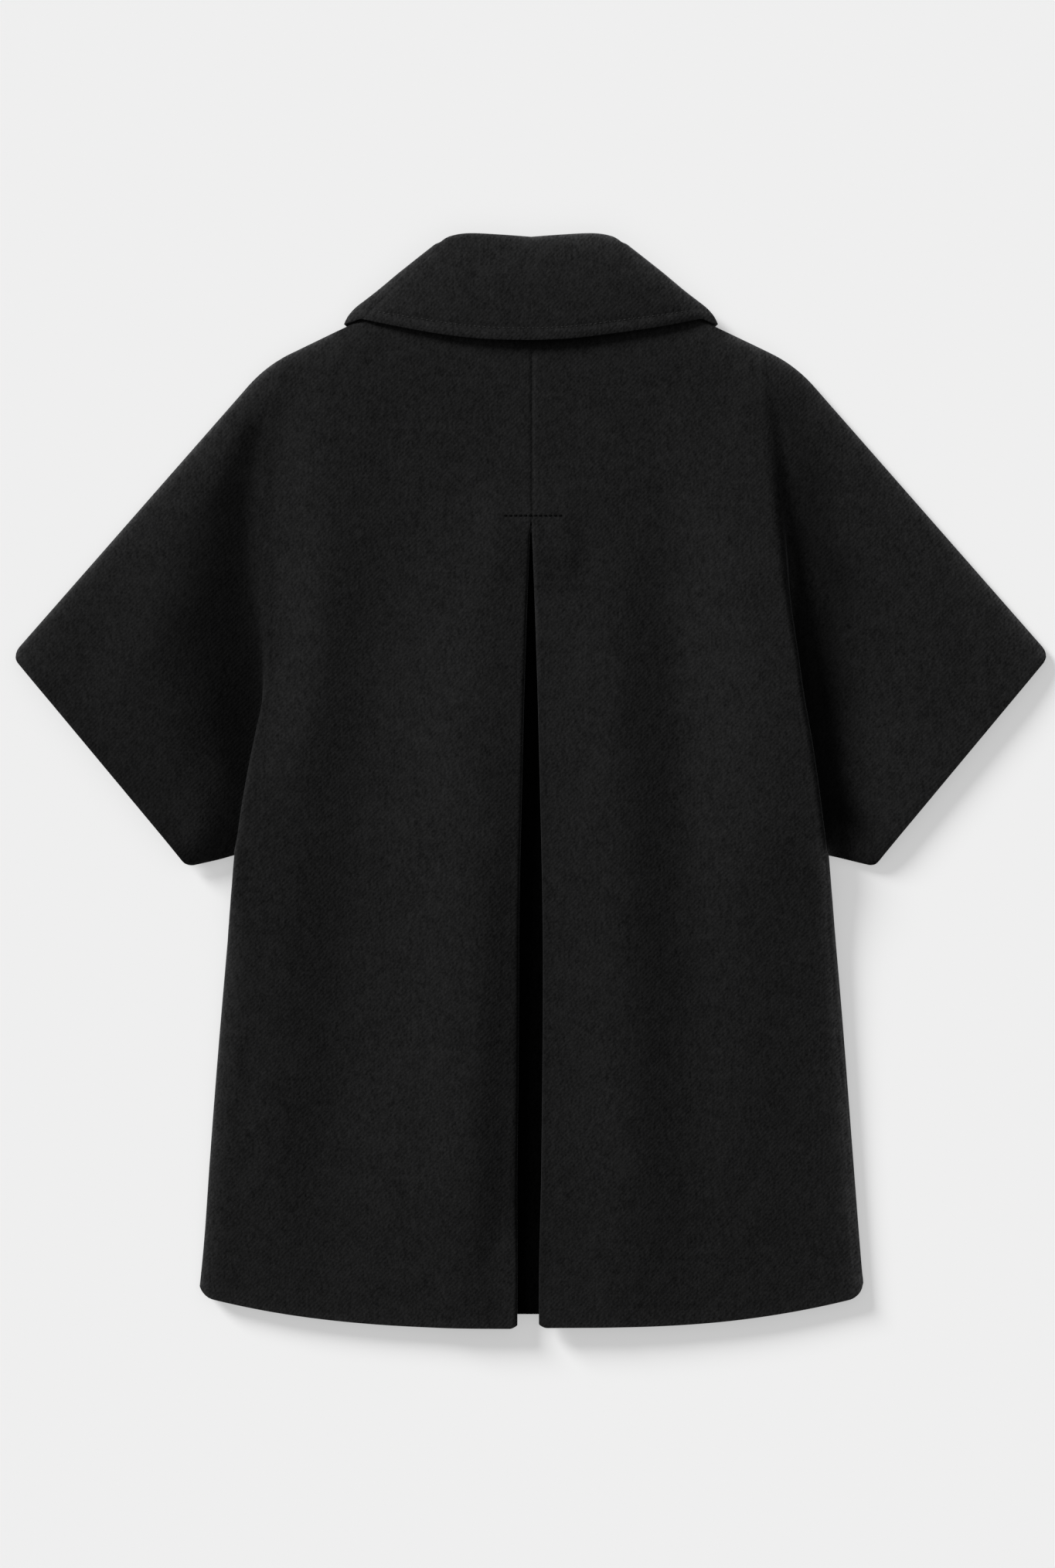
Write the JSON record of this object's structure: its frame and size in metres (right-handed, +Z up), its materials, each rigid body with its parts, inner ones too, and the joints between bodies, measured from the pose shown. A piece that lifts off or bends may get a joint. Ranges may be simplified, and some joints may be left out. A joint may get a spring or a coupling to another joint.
{
  "type": "short coat",
  "caption": "Short wide coat in thick felted wool, laid flat with its back up, with grown-on sleeves, a turned-down collar and an inverted back pleat; worn over other clothes for warmth.",
  "frame": {"origin": "middle of the coat's outline on the surface it lies on", "axes": "+Z up from the surface, +Y from the hem towards the collar, +X to the right seen from above, which is the wearer's right"},
  "size_m": [0.8, 0.8489, 0.0266],
  "materials": {
    "back_left": "black felted wool, matt with a soft nap",
    "back_right": "black felted wool, matt with a soft nap",
    "pleat_underlay": "black felted wool, matt with a soft nap",
    "collar": "black felted wool, matt with a soft nap",
    "front_left": "black felted wool, matt with a soft nap",
    "front_right": "black felted wool, matt with a soft nap"
  },
  "bodies": {
    "root": {"back_left": "back_left", "back_right": "back_right", "pleat_underlay": "pleat_underlay", "collar": "collar", "front_left": "front_left", "front_right": "front_right"}
  },
  "joints": []
}
